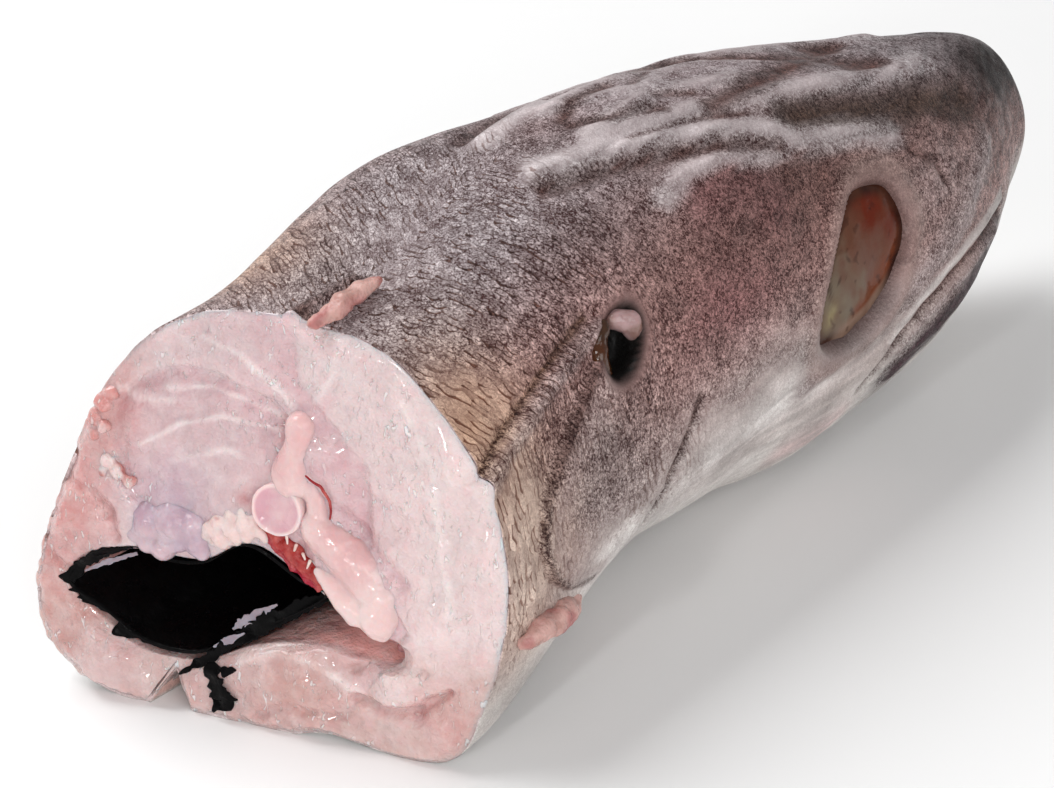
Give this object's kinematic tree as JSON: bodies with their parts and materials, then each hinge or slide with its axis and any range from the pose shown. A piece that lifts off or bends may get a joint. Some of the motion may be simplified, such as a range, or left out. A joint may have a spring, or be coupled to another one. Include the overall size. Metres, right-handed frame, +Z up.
{
  "type": "head end of a hake",
  "caption": "Raw head end of a gutted hake, cut slantwise behind the gill cover, with bare flesh, backbone and black belly lining, resting on its belly.",
  "frame": {"origin": "on the resting plane under the middle of the part", "axes": "+Z up, +Y towards the snout, +X on the fish's right side"},
  "size_m": [0.1016, 0.2613, 0.1023],
  "materials": {
    "skin": "damp fine-scaled skin",
    "flesh": "wet raw flesh",
    "eye": "wet amber",
    "bone": "wet bone and gristle",
    "kidney": "wet dark red",
    "membrane": "wet translucent",
    "lining": "wet black",
    "fin": "torn damp fin"
  },
  "bodies": {
    "root": {"body": "skin", "eye_right": "eye", "eye_left": "eye", "backbone": "bone", "kidney": "kidney", "swim_bladder": "membrane", "belly_lining": "lining", "dorsal_fin_stub": "fin", "pectoral_stub_right": "fin", "pectoral_stub_left": "fin"}
  },
  "joints": []
}
